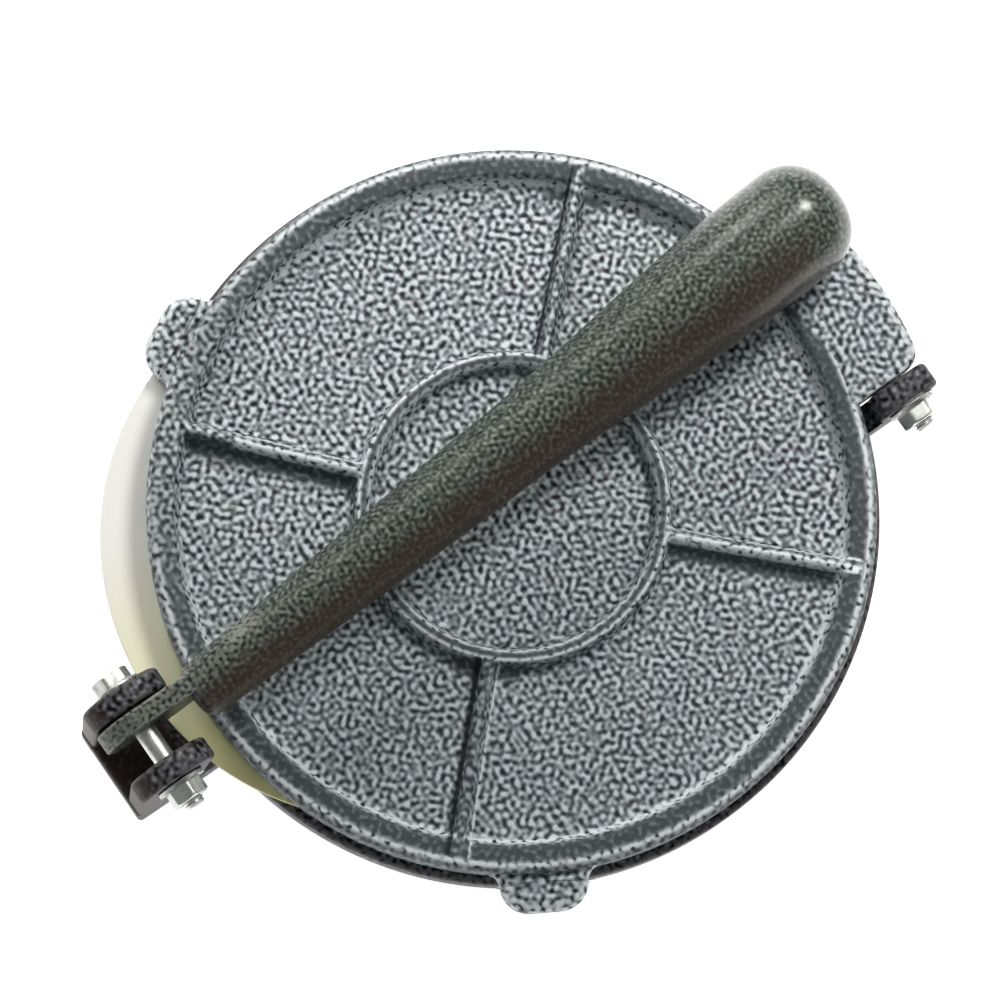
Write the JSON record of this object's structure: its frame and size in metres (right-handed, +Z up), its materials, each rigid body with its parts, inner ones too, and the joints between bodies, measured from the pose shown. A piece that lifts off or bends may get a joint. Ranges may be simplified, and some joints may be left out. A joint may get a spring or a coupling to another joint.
{
  "type": "tortilla press",
  "caption": "Hand press with a round cast base, a hinged round lid with ring and ribs, and a long lever in a front clevis that presses the lid down.",
  "frame": {"origin": "on the table under the middle of the whole press, at the bottom centre of its box", "axes": "+Z up, +Y from the lever's clevis towards the lid's hinge, X along both pivot axes"},
  "size_m": [0.209, 0.256, 0.0706],
  "materials": {
    "base_enamel": "dark hammertone enamel on cast iron, the pressing face duller",
    "lid_enamel": "silver-grey hammertone enamel with fine black pits on cast iron",
    "lever_enamel": "glossy dark grey-brown hammertone enamel on cast iron",
    "zinc_steel": "bright zinc plate",
    "foot_rubber": "matt moulded rubber",
    "liner_plastic": "smooth cream-white plastic sheet"
  },
  "bodies": {
    "base": {"base_plate": "base_enamel", "pivot_bolt": "zinc_steel", "pivot_nut": "zinc_steel", "pivot_head_washer": "zinc_steel", "pivot_nut_washer": "zinc_steel", "hinge_bolt": "zinc_steel", "hinge_nut": "zinc_steel", "hinge_head_washer": "zinc_steel", "hinge_nut_washer": "zinc_steel", "foot_front_left": "foot_rubber", "foot_front_right": "foot_rubber", "foot_back_left": "foot_rubber", "foot_back_right": "foot_rubber", "foot_screw_front_left": "zinc_steel", "foot_screw_front_right": "zinc_steel", "foot_screw_back_left": "zinc_steel", "foot_screw_back_right": "zinc_steel", "press_liner": "liner_plastic"},
    "lid": {"lid_plate": "lid_enamel"},
    "lever": {"lever": "lever_enamel"}
  },
  "joints": [
    {"name": "lever_swing", "type": "hinge", "parent": "base", "child": "lever", "pos_m": [-0.003, -0.114, 0.0493], "axis": [1, 0, 0], "range_deg": [0, 185]},
    {"name": "lid_swing", "type": "hinge", "parent": "base", "child": "lid", "pos_m": [0.0035, 0.116, 0.0293], "axis": [-1, 0, 0], "range_deg": [0, 110]}
  ],
  "couplings": [
    {"joint": "lid_swing", "follows": "lever_swing", "ratio": 0.16}
  ]
}
